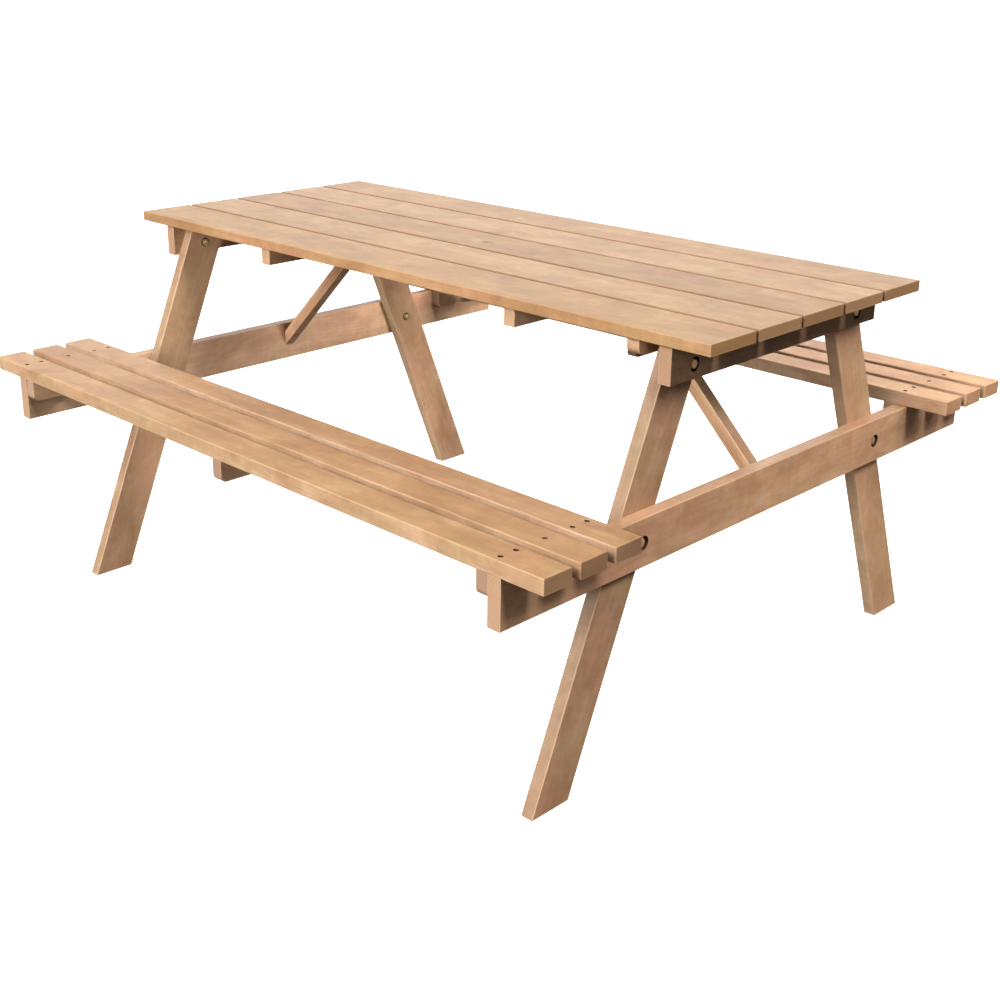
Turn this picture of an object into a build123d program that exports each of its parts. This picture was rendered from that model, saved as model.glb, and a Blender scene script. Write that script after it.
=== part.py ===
from build123d import *
import math
import os

# ---------------------------------------------------------------------------
# Timber picnic table with two attached benches.  Millimetres.
# X runs along the table top, Y across it (the front bench is on -Y), Z is up.
# The origin is on the ground, at the middle of the table.
# ---------------------------------------------------------------------------

# table top
top_length = 1500.0
top_height = 747.0
top_thickness = 20.0
plank_width = 119.0
plank_gap = 7.0
plank_count = 5

# benches
bench_length = 1514.0
seat_height = 488.5
slat_thickness = 27.0
slat_width = 59.0
slat_gap = 18.5
bench_inner_y = 462.0
slats_per_bench = 3

# end frames: a leg, with the beam and the end batten bolted to its outer face
leg_inner_x = 626.0
leg_thickness = 24.0
leg_width = 80.0
leg_lean = 22.3
leg_axis_y_on_floor = 522.0
beam_thickness = 26.0
beam_height = 85.0
beam_half_length = 675.0
batten_thickness = 24.0
batten_height = 64.0
batten_half_length = 303.0

# battens under the middle of the top
inner_batten_x = 333.0
inner_batten_thickness = 25.0
inner_batten_height = 34.0
inner_batten_half_length = 301.0
extra_batten_x = 597.0
extra_batten_thickness = 25.0
extra_batten_height = 29.0
extra_batten_corner = 14.0

# cleats under the benches
cleat_thickness = 24.0
cleat_height = 41.0
cleat_inner_y = 464.0
cleat_outer_y = 673.5
cleat_corner = 11.0

# diagonal braces, from the beams up to the inner battens
brace_width = 26.0
brace_depth = 24.0
brace_foot_z = 408.5
brace_angle = 45.0

# eased edges of the timber
ease_board = 1.8
ease_frame = 1.6
ease_end = 0.8

# M8 bolts
bolt_d = 8.0
bolt_hole_d = 8.4
head_flats = 13.0
head_height = 5.3
nut_height = 6.5
washer_d = 17.0
washer_thickness = 1.6
outer_bore_d = 25.0
beam_bore_depth = 10.0
batten_bore_depth = 8.0
inner_bore_d = 20.0
inner_bore_depth = 3.0
bolt_end_stand = 1.5
beam_bolt_z = 418.5
batten_bolt_z = 687.0

# wood screws
screw_d = 4.5
clearance_d = 5.0
screw_head_d = 8.6
screw_head_height = 3.0
screw_bore_d = 9.4
screw_tip = 4.0
drive_width = 1.1
drive_length = 4.6
drive_depth = 1.6

# derived levels and positions
top_under = top_height - top_thickness
seat_under = seat_height - slat_thickness
leg_outer_x = leg_inner_x + leg_thickness
beam_outer_x = leg_outer_x + beam_thickness
beam_mid_x = leg_outer_x + beam_thickness / 2
beam_bottom = seat_under - beam_height
batten_outer_x = leg_outer_x + batten_thickness
batten_mid_x = leg_outer_x + batten_thickness / 2
batten_bottom = top_under - batten_height
inner_batten_outer_x = inner_batten_x + inner_batten_thickness / 2
lean = math.tan(math.radians(leg_lean))
leg_half_cut = leg_width / 2 / math.cos(math.radians(leg_lean))
beam_bolt_y = leg_axis_y_on_floor - lean * beam_bolt_z
batten_bolt_y = leg_axis_y_on_floor - lean * batten_bolt_z

plank_pitch = plank_width + plank_gap
plank_y = [plank_pitch * (i - (plank_count - 1) / 2) for i in range(plank_count)]
slat_pitch = slat_width + slat_gap
slat_y = [bench_inner_y + slat_width / 2 + slat_pitch * i for i in range(slats_per_bench)]
top_screw_x = [-batten_mid_x, -inner_batten_x, inner_batten_x, extra_batten_x, batten_mid_x]

# bench end screws: two in the inner slat, one in the middle one, two in the outer one
slat_screw_y = [[-16.5, 16.5], [0.0], [-16.0, 16.0]]

# screw depths
slat_bore_depth = 6.0
bench_screw_length = 50.0
cleat_bore_depth = 10.0
cleat_screw_length = 50.0
end_batten_bore_depth = 16.0
end_batten_screw_length = 62.0
inner_batten_bore_depth = 4.0
inner_batten_screw_length = 43.0
extra_batten_screw_length = 38.0
brace_foot_screw_z = 437.0
brace_foot_seat_x = 632.0
brace_foot_screw_length = 40.0
brace_head_screw_x = 356.0
brace_head_seat_z = 711.0
brace_head_screw_length = 30.0

os.makedirs("parts", exist_ok=True)


def save(piece, name):
    """Label one finished piece and write it."""
    piece.part.label = name
    export_step(piece.part, f"parts/{name}.step")


def plane_up(x, y, z):
    """Plane at a point, facing up."""
    return Plane(origin=(x, y, z), x_dir=(1, 0, 0), z_dir=(0, 0, 1))


def plane_down(x, y, z):
    """Plane at a point, facing down."""
    return Plane(origin=(x, y, z), x_dir=(1, 0, 0), z_dir=(0, 0, -1))


def plane_out(x, y, z, side):
    """Plane at a point, facing +X (side 1) or -X (side -1)."""
    return Plane(origin=(x, y, z), x_dir=(0, side, 0), z_dir=(side, 0, 0))


def drill(planes, diameter, depth):
    """Cut a round hole downwards into the piece from each plane."""
    for plane in planes:
        with BuildSketch(plane) as mouth:
            Circle(diameter / 2)
        extrude(mouth.sketch, amount=-depth, mode=Mode.SUBTRACT)


def box_between(x0, x1, y0, y1, z0, z1):
    """Box given by its limits, inside the current part."""
    with BuildSketch(Plane.XY.offset(z0)) as base:
        with Locations(((x0 + x1) / 2, (y0 + y1) / 2)):
            Rectangle(abs(x1 - x0), abs(y1 - y0))
    extrude(base.sketch, amount=z1 - z0)


# ---------------------------------------------------------------------------
# table top: five planks, screwed from below
# ---------------------------------------------------------------------------
def make_top_plank(y):
    with BuildPart() as plank:
        box_between(-top_length / 2, top_length / 2, y - plank_width / 2, y + plank_width / 2,
                    top_under, top_height)
        fillet(plank.edges().filter_by(Axis.X), ease_board)
        fillet(plank.faces().sort_by(Axis.X)[0].edges(), ease_end)
        fillet(plank.faces().sort_by(Axis.X)[-1].edges(), ease_end)
        bottom = [plane_down(x, y, top_under) for x in top_screw_x]
        drill(bottom, screw_d, 14.0)
        if abs(y) < 1.0:
            heads = [plane_down(s * brace_head_screw_x, 0, top_under) for s in (-1, 1)]
            drill(heads, screw_d, brace_head_screw_length - (top_under - brace_head_seat_z))
    return plank


for i, y in enumerate(plank_y):
    save(make_top_plank(y), f"top_plank_{i + 1}")


# ---------------------------------------------------------------------------
# benches: three slats each
# ---------------------------------------------------------------------------
def make_slat(y, screw_offsets):
    with BuildPart() as slat:
        box_between(-bench_length / 2, bench_length / 2, y - slat_width / 2, y + slat_width / 2,
                    seat_under, seat_height)
        fillet(slat.edges().filter_by(Axis.X), ease_board)
        fillet(slat.faces().sort_by(Axis.X)[0].edges(), ease_end)
        fillet(slat.faces().sort_by(Axis.X)[-1].edges(), ease_end)
        with Locations(*[Location((sx * beam_mid_x, y + dy, seat_height))
                         for sx in (-1, 1) for dy in screw_offsets]):
            CounterBoreHole(clearance_d / 2, screw_bore_d / 2, slat_bore_depth)
        cleat_points = [plane_down(x, y, seat_under)
                        for x in (-leg_inner_x - cleat_thickness / 2, 0,
                                  leg_inner_x + cleat_thickness / 2)]
        drill(cleat_points, screw_d, cleat_screw_length - (cleat_height - cleat_bore_depth))
    return slat


for side, bench in ((-1, "front"), (1, "back")):
    for i, y in enumerate(slat_y):
        offsets = [side * dy for dy in slat_screw_y[i]]
        save(make_slat(side * y, offsets), f"bench_{bench}_slat_{i + 1}")


# ---------------------------------------------------------------------------
# legs: leaning boards cut level at the ground and under the top
# ---------------------------------------------------------------------------
def make_leg(sx, sy):
    x_mid = sx * (leg_inner_x + leg_thickness / 2)
    with BuildPart() as leg:
        with BuildSketch(Plane.YZ.offset(x_mid)):
            with BuildLine():
                Polyline(
                    (sy * (leg_axis_y_on_floor + leg_half_cut), 0),
                    (sy * (leg_axis_y_on_floor + leg_half_cut - lean * top_under), top_under),
                    (sy * (leg_axis_y_on_floor - leg_half_cut - lean * top_under), top_under),
                    (sy * (leg_axis_y_on_floor - leg_half_cut), 0),
                    close=True,
                )
            make_face()
        extrude(amount=leg_thickness / 2, both=True)
        direction = Vector(0, -sy * lean, 1).normalized()
        long_edges = [e for e in leg.edges()
                      if abs(abs(e.tangent_at(0.5).dot(direction)) - 1) < 1e-4]
        fillet(long_edges, ease_frame)
        inner = [plane_out(sx * leg_inner_x, sy * beam_bolt_y, beam_bolt_z, -sx),
                 plane_out(sx * leg_inner_x, sy * batten_bolt_y, batten_bolt_z, -sx)]
        drill(inner, inner_bore_d, inner_bore_depth)
        drill(inner, bolt_hole_d, leg_thickness + 1)
    return leg


# ---------------------------------------------------------------------------
# beams that carry the benches
# ---------------------------------------------------------------------------
def make_beam(sx):
    x0 = sx * leg_outer_x
    x1 = sx * beam_outer_x
    with BuildPart() as beam:
        box_between(min(x0, x1), max(x0, x1), -beam_half_length, beam_half_length,
                    beam_bottom, seat_under)
        fillet(beam.edges().filter_by(Axis.Y), ease_board)
        fillet(beam.faces().sort_by(Axis.Y)[0].edges(), ease_end)
        fillet(beam.faces().sort_by(Axis.Y)[-1].edges(), ease_end)
        outer = [plane_out(x1, sy * beam_bolt_y, beam_bolt_z, sx) for sy in (-1, 1)]
        drill(outer, outer_bore_d, beam_bore_depth)
        drill(outer, bolt_hole_d, beam_thickness + 1)
        pilots = [plane_up(sx * beam_mid_x, sy * y + dy, seat_under)
                  for sy in (-1, 1) for i, y in enumerate(slat_y)
                  for dy in [sy * d for d in slat_screw_y[i]]]
        drill(pilots, screw_d, bench_screw_length - (slat_thickness - slat_bore_depth))
        foot_depth = brace_foot_screw_length - (leg_outer_x - brace_foot_seat_x)
        drill([plane_out(x0, 0, brace_foot_screw_z, -sx)], screw_d, foot_depth)
    return beam


# ---------------------------------------------------------------------------
# battens under the top
# ---------------------------------------------------------------------------
def make_end_batten(sx):
    x0 = sx * leg_outer_x
    x1 = sx * batten_outer_x
    with BuildPart() as batten:
        box_between(min(x0, x1), max(x0, x1), -batten_half_length, batten_half_length,
                    batten_bottom, top_under)
        fillet(batten.edges().filter_by(Axis.Y), ease_frame)
        fillet(batten.faces().sort_by(Axis.Y)[0].edges(), ease_end)
        fillet(batten.faces().sort_by(Axis.Y)[-1].edges(), ease_end)
        outer = [plane_out(x1, sy * batten_bolt_y, batten_bolt_z, sx) for sy in (-1, 1)]
        drill(outer, outer_bore_d, batten_bore_depth)
        drill(outer, bolt_hole_d, batten_thickness + 1)
        seats = [plane_down(sx * batten_mid_x, y, batten_bottom) for y in plank_y]
        drill(seats, screw_bore_d, end_batten_bore_depth)
        drill(seats, clearance_d, batten_height + 1)
    return batten


def make_inner_batten(x, thickness, height, half_length, corner):
    bottom = top_under - height
    with BuildPart() as batten:
        box_between(x - thickness / 2, x + thickness / 2, -half_length, half_length,
                    bottom, top_under)
        ends = batten.edges().filter_by(Axis.X).group_by(Axis.Z)[0]
        fillet(ends, corner)
        fillet(batten.edges().filter_by(Axis.Y), ease_frame)
        seats = [plane_down(x, y, bottom) for y in plank_y]
        drill(seats, screw_bore_d, inner_batten_bore_depth)
        drill(seats, clearance_d, height + 1)
    return batten


# ---------------------------------------------------------------------------
# cleats under the bench slats, with a rounded lower corner at each end
# ---------------------------------------------------------------------------
def make_cleat(x, sy):
    y0 = sy * cleat_inner_y
    y1 = sy * cleat_outer_y
    with BuildPart() as cleat:
        box_between(x - cleat_thickness / 2, x + cleat_thickness / 2, min(y0, y1), max(y0, y1),
                    seat_under - cleat_height, seat_under)
        lower_ends = cleat.edges().filter_by(Axis.X).group_by(Axis.Z)[0]
        fillet(lower_ends, cleat_corner)
        seats = [plane_down(x, sy * y, seat_under - cleat_height) for y in slat_y]
        drill(seats, screw_bore_d, cleat_bore_depth)
        drill(seats, clearance_d, cleat_height + 1)
    return cleat


# ---------------------------------------------------------------------------
# braces: cut upright against the beam, level under the top and upright
# against the inner batten
# ---------------------------------------------------------------------------
def make_brace(sx):
    slope = math.tan(math.radians(brace_angle))
    rise = brace_depth / math.cos(math.radians(brace_angle))
    low_at_batten = brace_foot_z + slope * (leg_outer_x - inner_batten_outer_x)
    high_x = leg_outer_x - (top_under - brace_foot_z - rise) / slope
    with BuildPart() as brace:
        with BuildSketch(Plane.XZ):
            with BuildLine():
                Polyline(
                    (sx * leg_outer_x, brace_foot_z),
                    (sx * leg_outer_x, brace_foot_z + rise),
                    (sx * high_x, top_under),
                    (sx * inner_batten_outer_x, top_under),
                    (sx * inner_batten_outer_x, low_at_batten),
                    close=True,
                )
            make_face()
        extrude(amount=brace_width / 2, both=True)
        direction = Vector(-sx * math.cos(math.radians(brace_angle)), 0,
                           math.sin(math.radians(brace_angle)))
        long_edges = [e for e in brace.edges()
                      if abs(abs(e.tangent_at(0.5).dot(direction)) - 1) < 1e-4]
        fillet(long_edges, ease_frame)
        # screw into the beam, driven level from the sloping lower face
        foot = plane_out(sx * brace_foot_seat_x, 0, brace_foot_screw_z, sx)
        drill([foot], clearance_d, -(leg_outer_x - brace_foot_seat_x + 1))
        drill([foot], screw_bore_d, 40)
        # screw into the top, driven upwards from the sloping lower face
        head = plane_up(sx * brace_head_screw_x, 0, brace_head_seat_z)
        drill([head], clearance_d, -(top_under - brace_head_seat_z + 1))
        drill([head], screw_bore_d, 40)
    return brace


for sx, end in ((-1, "left"), (1, "right")):
    save(make_beam(sx), f"beam_{end}")
    save(make_end_batten(sx), f"end_batten_{end}")
    save(make_inner_batten(sx * inner_batten_x, inner_batten_thickness, inner_batten_height,
                           inner_batten_half_length, ease_board), f"inner_batten_{end}")
    save(make_brace(sx), f"brace_{end}")
    for sy, row in ((-1, "front"), (1, "back")):
        save(make_leg(sx, sy), f"leg_{end}_{row}")
        save(make_cleat(sx * (leg_inner_x + cleat_thickness / 2), sy), f"cleat_{row}_{end}")

for sy, row in ((-1, "front"), (1, "back")):
    save(make_cleat(0.0, sy), f"cleat_{row}_centre")

save(make_inner_batten(extra_batten_x, extra_batten_thickness, extra_batten_height,
                       inner_batten_half_length, extra_batten_corner), "extra_batten_right")


# ---------------------------------------------------------------------------
# bolts, washers and nuts, one set at each joint of a leg
# ---------------------------------------------------------------------------
joints = [(sx, sy * y, z, outer_x - bore)
          for sx in (-1, 1) for sy in (-1, 1)
          for y, z, outer_x, bore in ((beam_bolt_y, beam_bolt_z, beam_outer_x, beam_bore_depth),
                                      (batten_bolt_y, batten_bolt_z, batten_outer_x,
                                       batten_bore_depth))]
inner_seat_x = leg_inner_x + inner_bore_depth
nut_face_x = inner_seat_x - washer_thickness - nut_height

with BuildPart() as frame_bolts:
    for sx, y, z, seat_x in joints:
        head_x = seat_x + washer_thickness
        with BuildSketch(plane_out(sx * head_x, y, z, sx)):
            RegularPolygon(head_flats / 2, 6, major_radius=False)
        extrude(amount=head_height)
        with BuildSketch(plane_out(sx * head_x, y, z, sx)):
            Circle(bolt_d / 2)
        extrude(amount=-(head_x - nut_face_x + bolt_end_stand))
    rims = frame_bolts.faces().filter_by(Axis.X).filter_by(
        lambda f: f.area < math.pi * bolt_d ** 2 / 4 + 0.5)
    chamfer([e for f in rims for e in f.edges()], 0.8)
save(frame_bolts, "frame_bolts")

with BuildPart() as bolt_washers:
    for sx, y, z, seat_x in joints:
        for x in (seat_x, inner_seat_x - washer_thickness):
            with BuildSketch(plane_out(sx * x, y, z, sx)):
                Circle(washer_d / 2)
                Circle(bolt_d / 2, mode=Mode.SUBTRACT)
            extrude(amount=washer_thickness)
save(bolt_washers, "bolt_washers")

with BuildPart() as bolt_nuts:
    for sx, y, z, seat_x in joints:
        with BuildSketch(plane_out(sx * nut_face_x, y, z, sx)):
            RegularPolygon(head_flats / 2, 6, major_radius=False)
            Circle(bolt_d / 2, mode=Mode.SUBTRACT)
        extrude(amount=nut_height)
save(bolt_nuts, "bolt_nuts")


# ---------------------------------------------------------------------------
# wood screws: each seat is the plane under the head, facing out of the hole
# ---------------------------------------------------------------------------
def add_screw(seat, length):
    """One cross-head screw, inside the current part."""
    with BuildSketch(seat) as head:
        Circle(screw_head_d / 2)
    extrude(head.sketch, amount=screw_head_height)
    with BuildSketch(seat) as shank:
        Circle(screw_d / 2)
    extrude(shank.sketch, amount=-(length - screw_tip))
    with BuildSketch(seat.offset(-(length - screw_tip))) as tip:
        Circle(screw_d / 2)
    extrude(tip.sketch, amount=-screw_tip, taper=24)
    with BuildSketch(seat.offset(screw_head_height)) as drive:
        Rectangle(drive_length, drive_width)
        Rectangle(drive_width, drive_length)
    extrude(drive.sketch, amount=-drive_depth, mode=Mode.SUBTRACT)


with BuildPart() as bench_screws:
    for sx in (-1, 1):
        for sy in (-1, 1):
            for i, y in enumerate(slat_y):
                for dy in slat_screw_y[i]:
                    add_screw(plane_up(sx * beam_mid_x, sy * (y + dy),
                                       seat_height - slat_bore_depth), bench_screw_length)
save(bench_screws, "bench_screws")

with BuildPart() as cleat_screws:
    for sy in (-1, 1):
        for x in (-leg_inner_x - cleat_thickness / 2, 0.0, leg_inner_x + cleat_thickness / 2):
            for y in slat_y:
                add_screw(plane_down(x, sy * y, seat_under - cleat_height + cleat_bore_depth),
                          cleat_screw_length)
save(cleat_screws, "cleat_screws")

with BuildPart() as end_batten_screws:
    for sx in (-1, 1):
        for y in plank_y:
            add_screw(plane_down(sx * batten_mid_x, y, batten_bottom + end_batten_bore_depth),
                      end_batten_screw_length)
save(end_batten_screws, "end_batten_screws")

with BuildPart() as inner_batten_screws:
    for x in (-inner_batten_x, inner_batten_x):
        for y in plank_y:
            add_screw(plane_down(x, y, top_under - inner_batten_height + inner_batten_bore_depth),
                      inner_batten_screw_length)
save(inner_batten_screws, "inner_batten_screws")

with BuildPart() as extra_batten_screws:
    for y in plank_y:
        add_screw(plane_down(extra_batten_x, y,
                             top_under - extra_batten_height + inner_batten_bore_depth),
                  extra_batten_screw_length)
save(extra_batten_screws, "extra_batten_screws")

with BuildPart() as brace_foot_screws:
    for sx in (-1, 1):
        add_screw(plane_out(sx * brace_foot_seat_x, 0, brace_foot_screw_z, -sx),
                  brace_foot_screw_length)
save(brace_foot_screws, "brace_foot_screws")

with BuildPart() as brace_head_screws:
    for sx in (-1, 1):
        add_screw(plane_down(sx * brace_head_screw_x, 0, brace_head_seat_z),
                  brace_head_screw_length)
save(brace_head_screws, "brace_head_screws")
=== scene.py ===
"""Looks of the picnic table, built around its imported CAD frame."""

import math
import random

import bpy
from mathutils import Matrix, Vector


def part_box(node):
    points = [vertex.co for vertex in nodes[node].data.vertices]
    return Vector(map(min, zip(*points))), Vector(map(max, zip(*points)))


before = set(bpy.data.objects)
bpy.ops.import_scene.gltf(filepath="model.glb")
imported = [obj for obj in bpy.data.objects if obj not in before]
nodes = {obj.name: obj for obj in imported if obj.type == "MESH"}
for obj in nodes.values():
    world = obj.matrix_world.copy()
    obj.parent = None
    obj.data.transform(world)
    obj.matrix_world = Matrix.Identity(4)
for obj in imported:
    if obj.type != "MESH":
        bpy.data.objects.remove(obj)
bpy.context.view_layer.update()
scene = bpy.context.scene

LEG_LEAN = math.radians(22.3)
BRACE_ANGLE = math.radians(45.0)


# ------------------------------------------------------------------ camera
def make_camera():
    azimuth, elevation, roll = 0.7890, 0.3343, 0.0067
    back = Vector((math.sin(azimuth) * math.cos(elevation),
                   -math.cos(azimuth) * math.cos(elevation), math.sin(elevation)))
    right = (-back).cross(Vector((0, 0, 1))).normalized()
    up = right.cross(-back)
    r2 = math.cos(roll) * right + math.sin(roll) * up
    u2 = -math.sin(roll) * right + math.cos(roll) * up
    data = bpy.data.cameras.new("camera")
    data.sensor_width = 36.0
    data.lens = 51.223
    data.shift_x = 0.0456
    data.shift_y = -0.0632
    data.clip_end = 200.0
    cam = bpy.data.objects.new("camera", data)
    scene.collection.objects.link(cam)
    cam.matrix_world = Matrix((
        (r2.x, u2.x, back.x, 1.9185),
        (r2.y, u2.y, back.y, -2.0020),
        (r2.z, u2.z, back.z, 1.3030),
        (0, 0, 0, 1)))
    scene.camera = cam


make_camera()


# ------------------------------------------------------------------ node helpers
class Tree:
    """Short calls for adding shader nodes and links to one material."""

    def __init__(self, name):
        self.mat = bpy.data.materials.new(name)
        self.mat.use_nodes = True
        self.nt = self.mat.node_tree
        self.nt.nodes.clear()
        self.out = self.nt.nodes.new("ShaderNodeOutputMaterial")
        self.bsdf = self.nt.nodes.new("ShaderNodeBsdfPrincipled")
        self.link(self.bsdf.outputs[0], self.out.inputs["Surface"])

    def link(self, a, b):
        self.nt.links.new(a, b)

    def put(self, socket, value):
        if hasattr(value, "is_output"):
            self.link(value, socket)
        else:
            socket.default_value = value

    def node(self, kind, **settings):
        n = self.nt.nodes.new("ShaderNode" + kind)
        for k, v in settings.items():
            setattr(n, k, v)
        return n

    def math(self, op, a, b=0.0, c=0.0, clamp=False):
        n = self.node("Math", operation=op, use_clamp=clamp)
        for s, v in zip(n.inputs, (a, b, c)):
            self.put(s, v)
        return n.outputs[0]

    def vec(self, op, a, b=(0, 0, 0), c=(0, 0, 0)):
        n = self.node("VectorMath", operation=op)
        for s, v in zip(n.inputs, (a, b, c)):
            self.put(s, v)
        return n.outputs["Value"] if op in ("LENGTH", "DOT_PRODUCT") else n.outputs[0]

    def noise(self, vector, scale, detail=2.0, rough=0.5, distortion=0.0):
        n = self.node("TexNoise")
        self.put(n.inputs["Vector"], vector)
        n.inputs["Scale"].default_value = scale
        n.inputs["Detail"].default_value = detail
        n.inputs["Roughness"].default_value = rough
        n.inputs["Distortion"].default_value = distortion
        return n

    def ramp(self, fac, stops, interpolation="LINEAR"):
        n = self.node("ValToRGB")
        n.color_ramp.interpolation = interpolation
        els = n.color_ramp.elements
        while len(els) < len(stops):
            els.new(0.5)
        for e, (pos, col) in zip(els, stops):
            e.position = pos
            e.color = col if len(col) == 4 else (*col, 1.0)
        self.put(n.inputs[0], fac)
        return n.outputs[0]

    def range(self, v, a, b, c, d):
        n = self.node("MapRange")
        for s, x in zip(n.inputs, (v, a, b, c, d)):
            self.put(s, x)
        return n.outputs[0]

    def mix(self, fac, a, b, blend="MIX"):
        n = self.node("Mix", data_type="RGBA", blend_type=blend)
        self.put(n.inputs[0], fac)
        self.put(n.inputs[6], a)
        self.put(n.inputs[7], b)
        return n.outputs[2]


def rgb(r, g, b, gain=(1, 1, 1)):
    """Linear colour from sRGB bytes, times a gain."""
    def lin(v):
        v /= 255.0
        return v / 12.92 if v <= 0.04045 else ((v + 0.055) / 1.055) ** 2.4
    return (lin(r) * gain[0], lin(g) * gain[1], lin(b) * gain[2], 1.0)


# ------------------------------------------------------------------ timber
def make_wood(name, centre, axes, half, seed, tone, gain, side, paint_gap_shade, bores=(), knot=None):
    """Solid timber: growth rings round a pith beside the board, fibres and pores along it."""
    rnd = random.Random(seed)
    t = Tree(name)
    coord = t.node("TexCoord").outputs["Object"]
    local = t.node("Mapping", vector_type="TEXTURE")
    t.link(coord, local.inputs["Vector"])
    local.inputs["Location"].default_value = centre
    local.inputs["Rotation"].default_value = axes.to_euler()
    p = local.outputs[0]
    # each board is cut from another place in the tree
    shift = tuple(rnd.uniform(-40, 40) for _ in range(3))
    q = t.vec("ADD", p, shift)
    knot_mark = None
    if knot:
        away = t.vec("MULTIPLY", t.vec("SUBTRACT", coord, knot), (0.65, 1.0, 0.25))
        rough_edge = t.noise(t.vec("MULTIPLY", coord, (60.0, 110.0, 110.0)), 1.0, 3.0, 0.6)
        knot_r = t.math("ADD", t.vec("LENGTH", away),
                        t.range(rough_edge.outputs["Fac"], 0.3, 0.7, -0.0035, 0.0035))
        swell = t.math("POWER", 2.718, t.math("MULTIPLY", t.math("MULTIPLY", knot_r, knot_r), -2200.0))
        q = t.vec("SUBTRACT", q, t.vec("MULTIPLY", away, t.vec("MULTIPLY", swell, (0.0, 0.8, 0.0))))
        knot_mark = (knot_r, swell)

    # slow wander of the rings along the board
    wander = t.noise(t.vec("MULTIPLY", q, (1.1, 5.0, 5.0)), 1.0, 2.0, 0.5).outputs["Color"]
    wander = t.vec("MULTIPLY", t.vec("SUBTRACT", wander, (0.5, 0.5, 0.5)), (0.0, 0.075, 0.075))
    pith = (0.0, rnd.choice((-1, 1)) * rnd.uniform(0.02, 0.07), -rnd.uniform(0.05, 0.12))
    r = t.vec("MULTIPLY", t.vec("ADD", t.vec("ADD", p, wander), pith), (0.0, 1.0, 1.0))
    radius = t.vec("LENGTH", r)
    sep = t.node("SeparateXYZ")
    t.link(p, sep.inputs[0])
    radius = t.math("ADD", radius, t.math("MULTIPLY", sep.outputs[0], rnd.uniform(-0.02, 0.02)))
    ring_n = t.noise(t.vec("MULTIPLY", q, (2.0, 30.0, 30.0)), 1.0, 2.0, 0.6).outputs["Fac"]
    rings = t.math("ADD", t.math("MULTIPLY", radius, rnd.uniform(150, 210)),
                   t.math("MULTIPLY", ring_n, 1.2))
    saw = t.math("FRACT", rings)
    late = t.math("POWER", saw, 3.0)
    early = t.range(saw, 0.0, 0.12, 1.0, 0.0)
    ring = t.math("MAXIMUM", late, early)

    # fibres, pores and the faint ripples that cross them
    fibre = t.noise(t.vec("MULTIPLY", q, (9.0, 420.0, 420.0)), 1.0, 3.0, 0.6).outputs["Fac"]
    streak = t.noise(t.vec("MULTIPLY", q, (2.2, 70.0, 70.0)), 1.0, 3.0, 0.55).outputs["Fac"]
    pores = t.noise(t.vec("MULTIPLY", q, (55.0, 1100.0, 1100.0)), 1.0, 1.0, 0.5).outputs["Fac"]
    pores = t.range(pores, 0.66, 0.74, 0.0, 1.0)
    ripple = t.noise(t.vec("MULTIPLY", q, (75.0, 14.0, 14.0)), 1.0, 2.0, 0.5, 0.4).outputs["Fac"]

    # soft blotches of the oiled finish, large and small
    blotch = t.noise(t.vec("MULTIPLY", q, (9.0, 17.0, 17.0)), 1.0, 4.0, 0.62, 0.5).outputs["Fac"]
    mottle = t.noise(t.vec("MULTIPLY", q, (34.0, 62.0, 62.0)), 1.0, 3.0, 0.6, 0.4).outputs["Fac"]
    hue = t.noise(t.vec("ADD", t.vec("MULTIPLY", q, (7.0, 13.0, 13.0)), (7.3, 1.1, 3.7)),
                  1.0, 3.0, 0.6, 0.3).outputs["Fac"]

    # ends of the board are cut across the fibres
    nrm = t.vec("DOT_PRODUCT", t.node("TexCoord").outputs["Normal"],
                tuple(axes.to_3x3() @ Vector((1, 0, 0))))
    end = t.range(t.math("ABSOLUTE", nrm), 0.55, 0.85, 0.0, 1.0)
    # painted light: the narrow sides are tinted lighter or darker than the faces, for how the light falls
    # on them
    nrm = t.vec("DOT_PRODUCT", t.node("TexCoord").outputs["Normal"],
                tuple(axes.to_3x3() @ Vector((0, 1, 0))))
    narrow = t.range(t.math("ABSOLUTE", nrm), 0.55, 0.85, 0.0, 1.0)

    # edges lighter, partly edge wear and partly a painted highlight on the eased edges: near two faces of
    # the board at once
    gap = t.vec("SUBTRACT", tuple(half), t.vec("ABSOLUTE", p))
    sep = t.node("SeparateXYZ")
    t.link(gap, sep.inputs[0])
    near = [t.range(g, 0.0, 0.0028, 1.0, 0.0) for g in sep.outputs]
    # band beside the long sides, used for the painted shade at the gaps
    gap_shade_band = t.range(sep.outputs[1], 0.0008, 0.0026, 1.0, 0.0)
    edge_wear_and_highlight = t.math("MAXIMUM", t.math("MULTIPLY", near[0], near[1]), t.math(
        "MAXIMUM", t.math("MULTIPLY", near[1], near[2]), t.math("MULTIPLY", near[0], near[2])))
    edge_wear_and_highlight = t.math("MULTIPLY", edge_wear_and_highlight, t.range(mottle, 0.30, 0.62, 0.25, 1.0))

    def tinted(c):
        return rgb(*tone[c], gain)

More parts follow.
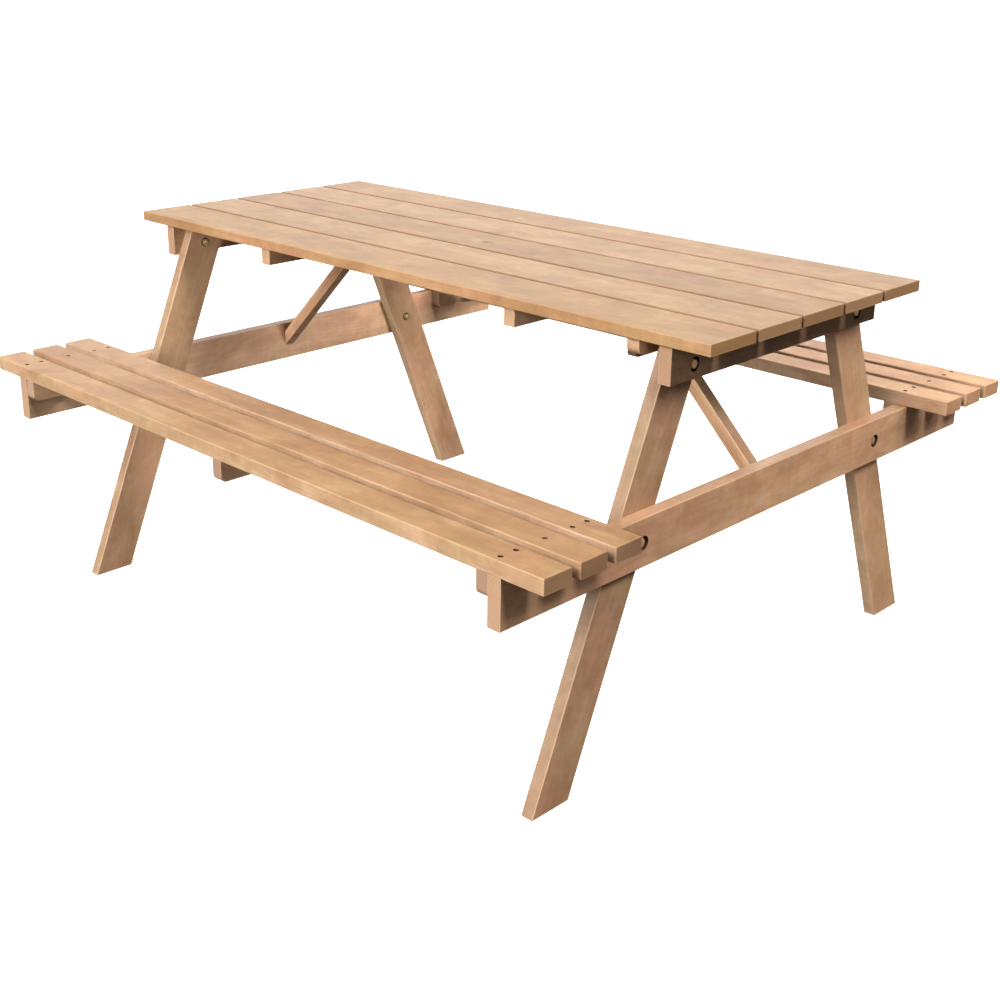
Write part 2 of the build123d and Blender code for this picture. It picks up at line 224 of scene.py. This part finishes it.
    base = t.ramp(blotch, ((0.28, tinted("dark")), (0.52, tinted("mid")), (0.74, tinted("light"))))
    base = t.mix(t.range(hue, 0.50, 0.70, 0.0, 0.5), base, tinted("pink"))
    base = t.mix(t.range(hue, 0.48, 0.30, 0.0, 0.5), base, tinted("yellow"))
    dark = t.math("ADD", t.math("MULTIPLY", ring, 0.10),
                  t.math("MULTIPLY", t.range(streak, 0.35, 0.70, 0.0, 1.0), 0.10))
    dark = t.math("ADD", dark, t.math("MULTIPLY", t.range(fibre, 0.30, 0.75, 0.0, 1.0), 0.10))
    dark = t.math("ADD", dark, t.math("MULTIPLY", pores, 0.20))
    dark = t.math("ADD", dark, t.math("MULTIPLY", t.range(mottle, 0.34, 0.66, 0.0, 1.0), 0.16))
    dark = t.math("ADD", dark, t.math("MULTIPLY", t.range(ripple, 0.36, 0.64, 0.0, 1.0), 0.10))
    base = t.mix(dark, base, rgb(118, 80, 48, gain))
    # painted light: narrow sides made lighter or darker than the faces, for how the light falls on them
    base = t.vec("MULTIPLY", base, t.mix(narrow, (1, 1, 1, 1), (*side, 1)))
    end_col = t.mix(t.math("MULTIPLY", ring, 0.20), tinted("end"), rgb(96, 64, 40, gain))
    base = t.mix(t.math("MULTIPLY", end, 0.8), base, end_col)
    # partly edge wear, partly a painted highlight along the edges
    base = t.mix(t.math("MULTIPLY", edge_wear_and_highlight, 0.30), base, rgb(214, 176, 134, gain))
    if paint_gap_shade:
        # painted shade: the plank edges are darkened beside the gaps between the planks, but not on the
        # two outer edges of the top
        sep = t.node("SeparateXYZ")
        t.link(coord, sep.inputs[0])
        inner = t.range(t.math("ABSOLUTE", sep.outputs[1]), 0.306, 0.307, 0.56, 0.0)
        base = t.mix(t.math("MULTIPLY", gap_shade_band, inner), base, rgb(96, 68, 38))
    if knot_mark:
        knot_r, swell = knot_mark
        beside = t.vec("LENGTH", t.vec("ADD", away, (0.009, 0.0, 0.0)))
        halo = t.range(beside, 0.024, 0.006, 0.0, 0.40)
        base = t.mix(halo, base, rgb(206, 170, 130, gain))
        turns = t.math("SINE", t.math("MULTIPLY", knot_r, 1500.0))
        heart = t.math("MULTIPLY", t.range(knot_r, 0.013, 0.005, 0.0, 1.0),
                       t.math("ADD", 0.92, t.math("MULTIPLY", turns, 0.08)))
        base = t.mix(heart, base, rgb(112, 76, 46, gain))

    # painted shade: the walls of the round sinkings round the bolt and screw heads are darkened, as shade
    # in the holes
    for axis, point, radius, face, inward in bores:
        flat = [1.0, 1.0, 1.0]
        flat[axis] = 0.0
        far = t.vec("LENGTH", t.vec("MULTIPLY", t.vec("SUBTRACT", coord, point), tuple(flat)))
        sep = t.node("SeparateXYZ")
        t.link(coord, sep.inputs[0])
        depth = t.math("MULTIPLY", t.math("SUBTRACT", face, sep.outputs[axis]), inward)
        bore_shade = t.math("MULTIPLY", t.range(far, radius, radius + 0.0005, 1.0, 0.0),
                        t.range(depth, 0.0003, 0.0012, 0.0, 0.93))
        # painted shade inside the sinkings
        base = t.mix(bore_shade, base, rgb(30, 17, 10))
    t.link(base, t.bsdf.inputs["Base Color"])

    rough = t.math("ADD", 0.36, t.math("MULTIPLY", fibre, 0.14))
    rough = t.math("ADD", rough, t.math("MULTIPLY", blotch, 0.06))
    rough = t.math("ADD", rough, t.math("MULTIPLY", end, 0.18), clamp=True)
    t.link(rough, t.bsdf.inputs["Roughness"])
    t.bsdf.inputs["Specular IOR Level"].default_value = 0.4

    height = t.math("ADD", t.math("MULTIPLY", fibre, 0.35), t.math("MULTIPLY", ring, -0.25))
    height = t.math("SUBTRACT", height, t.math("MULTIPLY", pores, 0.6))
    height = t.math("ADD", height, t.math("MULTIPLY", mottle, 0.5))
    bump = t.node("Bump")
    bump.inputs["Strength"].default_value = 0.35
    bump.inputs["Distance"].default_value = 0.0006
    t.link(height, bump.inputs["Height"])
    t.link(bump.outputs[0], t.bsdf.inputs["Normal"])
    return t.mat


TONE = {
    "top": dict(dark=(144, 105, 70), mid=(170, 130, 92), light=(188, 150, 112),
                pink=(184, 131, 98), yellow=(170, 139, 90), end=(150, 110, 76)),
    "bench": dict(dark=(146, 104, 68), mid=(172, 131, 91), light=(190, 150, 110),
                  pink=(184, 131, 94), yellow=(176, 138, 93), end=(126, 93, 68)),
    "frame": dict(dark=(152, 112, 82), mid=(176, 137, 105), light=(194, 156, 124),
                  pink=(186, 136, 110), yellow=(174, 145, 106), end=(180, 144, 114)),
    "end": dict(dark=(152, 112, 82), mid=(176, 137, 105), light=(194, 156, 124),
                pink=(186, 136, 110), yellow=(174, 145, 106), end=(166, 130, 102)),
    "cleat": dict(dark=(152, 112, 82), mid=(176, 137, 105), light=(194, 156, 124),
                  pink=(186, 136, 110), yellow=(174, 145, 106), end=(158, 127, 104)),
    "leg": dict(dark=(144, 106, 78), mid=(169, 132, 102), light=(188, 151, 120),
                pink=(180, 131, 106), yellow=(167, 141, 102), end=(176, 138, 108)),
}
# how much lighter or darker each board is than its group
GAIN = {"top_plank_1": (0.92, 0.93, 0.76), "top_plank_2": (0.99, 1.05, 1.01),
        "top_plank_3": (0.87, 0.87, 0.80), "top_plank_4": (1.01, 1.08, 1.08),
        "top_plank_5": (0.95, 0.98, 0.92),
        "bench_front_slat_1": (0.95, 0.98, 1.03), "bench_front_slat_2": (0.92, 0.93, 0.89),
        "bench_front_slat_3": (1.03, 1.08, 1.02)}
# painted light: tint of the narrow sides against the faces, lighter or darker for how the light falls on
# them
SIDE_PAINTED_LIGHT = {"top": (1.18, 1.2, 1.5), "bench": (1.22, 1.38, 1.8), "leg": (0.80, 0.90, 0.95),
        "brace": (0.78, 0.80, 0.80)}

LEG_AXIS_Y, BEAM_BOLT_Z, BATTEN_BOLT_Z = 0.522, 0.4185, 0.687
BEAM_BOLT_Y = LEG_AXIS_Y - math.tan(LEG_LEAN) * BEAM_BOLT_Z
BATTEN_BOLT_Y = LEG_AXIS_Y - math.tan(LEG_LEAN) * BATTEN_BOLT_Z
OUTER_BORE, INNER_BORE, SCREW_BORE = 0.0125, 0.0100, 0.0047


def grain_frame(name):
    """Rotation whose X axis follows the board's fibres and whose Z axis is its thickness."""
    if name.startswith(("top_plank", "bench_")):
        x, z = Vector((1, 0, 0)), Vector((0, 0, 1))
    elif name.startswith("leg_"):
        side = -1 if name.endswith("front") else 1
        x, z = Vector((0, -side * math.sin(LEG_LEAN), math.cos(LEG_LEAN))), Vector((1, 0, 0))
    elif name.startswith("brace_"):
        side = -1 if name.endswith("left") else 1
        x, z = Vector((-side * math.cos(BRACE_ANGLE), 0, math.sin(BRACE_ANGLE))), Vector((0, 1, 0))
    else:
        x, z = Vector((0, 1, 0)), Vector((1, 0, 0))
    y = z.cross(x)
    return Matrix((x, y, z)).transposed().to_4x4()


def half_sizes(name, lo, hi):
    """Half length, width and thickness of a board in its own frame."""
    if name.startswith("leg_"):
        return (1.0, 0.040, 0.012)
    if name.startswith("brace_"):
        return (1.0, 0.012, 0.013)
    dx, dy, dz = ((b - a) / 2 for a, b in zip(lo, hi))
    return (dx, dy, dz) if name.startswith(("top_plank", "bench_")) else (dy, dz, dx)


def bores_of(name, lo, hi):
    """Sinkings of a board: axis, a point on it, radius, the face it starts from, and that face's side."""
    end = -1 if "left" in name else 1
    if name.startswith("bench_"):
        row, side = int(name[-1]) - 1, (-1 if "front" in name else 1)
        y = (lo[1] + hi[1]) / 2
        return [(2, (x, y + side * dy, 0), SCREW_BORE, hi[2], 1)
                for x in (-0.663, 0.663) for dy in ((-0.0165, 0.0165), (0.0,), (-0.016, 0.016))[row]]
    if name.startswith("beam_"):
        return [(0, (0, y, BEAM_BOLT_Z), OUTER_BORE, end * 0.676, end)
                for y in (-BEAM_BOLT_Y, BEAM_BOLT_Y)]
    if name.startswith("end_batten_"):
        return [(0, (0, y, BATTEN_BOLT_Z), OUTER_BORE, end * 0.674, end)
                for y in (-BATTEN_BOLT_Y, BATTEN_BOLT_Y)]
    if name.startswith("leg_"):
        side = -1 if name.endswith("front") else 1
        return [(0, (0, side * y, z), INNER_BORE, end * 0.626, -end)
                for y, z in ((BEAM_BOLT_Y, BEAM_BOLT_Z), (BATTEN_BOLT_Y, BATTEN_BOLT_Z))]
    return []


def make_metal(name, colour, rough):
    t = Tree(name)
    coord = t.node("TexCoord").outputs["Object"]
    cloud = t.noise(coord, 160.0, 4.0, 0.6).outputs["Fac"]
    fine = t.noise(coord, 420.0, 3.0, 0.6).outputs["Fac"]
    dark = tuple(c * 0.55 for c in colour[:3]) + (1.0,)
    t.link(t.mix(t.range(cloud, 0.35, 0.7, 0.0, 1.0), colour, dark), t.bsdf.inputs["Base Color"])
    t.bsdf.inputs["Metallic"].default_value = 0.75
    t.link(t.math("ADD", rough, t.math("MULTIPLY", cloud, 0.2)), t.bsdf.inputs["Roughness"])
    bump = t.node("Bump")
    bump.inputs["Strength"].default_value = 0.6
    bump.inputs["Distance"].default_value = 0.0008
    t.link(fine, bump.inputs["Height"])
    t.link(bump.outputs[0], t.bsdf.inputs["Normal"])
    return t.mat


METAL = {"frame_bolts": make_metal("bolt_zinc", rgb(226, 178, 128), 0.22),
         "bolt_nuts": make_metal("nut_zinc", rgb(250, 222, 152), 0.16),
         # painted shade: the washers are coloured dark to stand for the shade in the sinkings they sit in
         "bolt_washers": make_metal("washer_zinc", rgb(84, 60, 42), 0.34),
         "screws": make_metal("screw_zinc", rgb(84, 56, 38), 0.32)}

for index, name in enumerate(sorted(nodes)):
    obj = nodes[name]
    if name in METAL:
        mat = METAL[name]
    elif name.endswith("_screws"):
        mat = METAL["screws"]
    else:
        lo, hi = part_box(name)
        mat = make_wood("wood_" + name, (Vector(lo) + Vector(hi)) / 2, grain_frame(name),
                        half_sizes(name, lo, hi), 100 + index,
                        TONE.get(name.split("_")[0], TONE["frame"]), GAIN.get(name, (1, 1, 1)),
                        SIDE_PAINTED_LIGHT.get(name.split("_")[0], (1, 1, 1)),
                        name.startswith("top_plank"), bores_of(name, lo, hi),
                        (-0.003, -0.008, 0.747) if name == "top_plank_3" else None)
    obj.data.materials.clear()
    obj.data.materials.append(mat)

# worn corners on the turned and forged ironmongery
for name in ("frame_bolts", "bolt_nuts"):
    worn = nodes[name].modifiers.new("worn_edges", "BEVEL")
    worn.width = 0.0009
    worn.segments = 3
    worn.limit_method = "ANGLE"
    worn.angle_limit = math.radians(25)


# ------------------------------------------------------------------ studio
def make_studio():
    bpy.ops.mesh.primitive_plane_add(size=160.0, location=(0, 0, -0.0006))
    floor = bpy.context.object
    floor.name = "floor"
    t = Tree("floor_paper")
    cloud = t.noise(t.node("TexCoord").outputs["Object"], 0.6, 2.0, 0.5).outputs["Fac"]
    t.link(t.mix(cloud, (0.90, 0.90, 0.90, 1), (0.93, 0.93, 0.92, 1)), t.bsdf.inputs["Base Color"])
    t.bsdf.inputs["Roughness"].default_value = 0.9
    t.bsdf.inputs["Specular IOR Level"].default_value = 0.1
    t.bsdf.inputs["Emission Color"].default_value = (1.0, 1.0, 1.0, 1.0)
    t.bsdf.inputs["Emission Strength"].default_value = 0.60
    # seen from underneath the floor is clear, so the underside of the object can be looked at
    clear = t.node("BsdfTransparent")
    facing = t.node("MixShader")
    t.link(t.node("NewGeometry").outputs["Backfacing"], facing.inputs[0])
    t.link(t.bsdf.outputs[0], facing.inputs[1])
    t.link(clear.outputs[0], facing.inputs[2])
    t.link(facing.outputs[0], t.out.inputs["Surface"])
    floor.data.materials.append(t.mat)
    # the paper throws no light back up at the object
    floor.visible_diffuse = False
    floor.visible_glossy = False

    # pale surroundings above the floor, almost none below it
    world = bpy.data.worlds.new("studio")
    world.use_nodes = True
    nt = world.node_tree
    bg = nt.nodes["Background"]
    coord = nt.nodes.new("ShaderNodeTexCoord")
    sep = nt.nodes.new("ShaderNodeSeparateXYZ")
    nt.links.new(coord.outputs["Generated"], sep.inputs[0])
    rng = nt.nodes.new("ShaderNodeMapRange")
    nt.links.new(sep.outputs[2], rng.inputs[0])
    for i, v in zip((1, 2, 3, 4), (-0.03, 0.03, SKY_BELOW, SKY_ABOVE)):
        rng.inputs[i].default_value = v
    # the surroundings look white themselves, and are dimmer as a light
    seen = nt.nodes.new("ShaderNodeLightPath")
    pale = nt.nodes.new("ShaderNodeMix")
    nt.links.new(seen.outputs["Is Camera Ray"], pale.inputs[0])
    nt.links.new(rng.outputs[0], pale.inputs[2])
    pale.inputs[3].default_value = 1.0
    nt.links.new(pale.outputs[0], bg.inputs[1])
    bg.inputs[0].default_value = (1.0, 1.0, 1.0, 1.0)
    scene.world = world

    def hang(name, data, direction, only):
        o = bpy.data.objects.new(name, data)
        o.rotation_mode = "QUATERNION"
        o.rotation_quaternion = Vector(direction).to_track_quat("Z", "Y")
        scene.collection.objects.link(o)
        if only:
            lit = bpy.data.collections.new(name + "_lit")
            for piece in only:
                lit.objects.link(nodes[piece])
            o.light_linking.receiver_collection = lit
        return o

    def sun(name, direction, strength, angle, only=()):
        data = bpy.data.lights.new(name, "SUN")
        data.energy = strength
        data.angle = math.radians(angle)
        hang(name, data, direction, only)

    def lamp(name, place, target, watts, size, only=()):
        data = bpy.data.lights.new(name, "AREA")
        data.energy = watts
        data.size = size
        o = hang(name, data, Vector(place) - Vector(target), only)
        o.location = place
        o.visible_camera = False
        o.visible_glossy = False

    sun("key_front", (0.04, -0.86, 0.50), 4.0, 28)
    in_gaps = ("bench_front_slat_1", "bench_front_slat_2")
    sun("low_front", (0.06, -0.97, 0.18), 1.3, 40, only=[n for n in nodes if n not in in_gaps])
    sun("mid_front", (0.04, -0.80, 0.60), 1.2, 40, only=in_gaps)
    sun("key_right", (0.70, -0.05, 0.74), 3.2, 16)
    sun("back_glow", (-0.65, 0.72, 0.30), 1.2, 60)
    # the far end frame is lit from low on the right, under the table top
    sun("low_right_beam", (0.85, 0.20, 0.14), 6.6, 24, only=("beam_left",))
    sun("low_right_leg", (0.80, -0.52, 0.14), 4.0, 24, only=("leg_left_back",))
    sun("low_right_frame", (0.85, -0.42, 0.14), 2.2, 24,
        only=("brace_left", "cleat_front_left", "cleat_back_left"))
    sun("low_front_leg", (0.62, -0.76, 0.14), 3.0, 24, only=("leg_left_front",))
    sun("low_right_steel", (0.85, -0.42, 0.14), 4.0, 30, only=("bolt_nuts", "frame_bolts"))
    lamp("lamp_low", (1.6, -0.9, 0.25), (-0.45, 0.0, 0.55), 26.0, 0.6, only=("brace_left",))
    sun("low_right_top", (0.85, -0.42, 0.14), 0.9, 24,
        only=("end_batten_left", "inner_batten_left", "inner_batten_right",
              "extra_batten_right", "cleat_front_centre"))
    # the back legs and the right brace are lit from low in front
    sun("low_front_back", (0.10, -0.95, 0.28), 3.2, 30,
        only=("leg_left_back", "leg_right_back", "cleat_back_right"))
    sun("low_front_brace", (0.10, -0.95, 0.28), 1.9, 30, only=("brace_right",))
    sun("low_front_bench", (0.10, -0.95, 0.28), 1.0, 30,
        only=("bench_back_slat_1", "bench_back_slat_2", "bench_back_slat_3"))
    # a small lamp beside the back right corner
    lamp("lamp_right", (1.5, 0.9, 1.3), (0.68, 0.5, 0.45), 11.0, 0.5,
         only=("leg_right_back", "beam_right", "cleat_back_right"))
    lamp("lamp_bench", (1.5, 0.9, 1.3), (0.68, 0.5, 0.45), 21.0, 0.5,
         only=("bench_back_slat_1", "bench_back_slat_2", "bench_back_slat_3"))
    scene.view_settings.view_transform = "Standard"
    scene.view_settings.look = "None"


SKY_ABOVE = 0.27
SKY_BELOW = 0.03
make_studio()
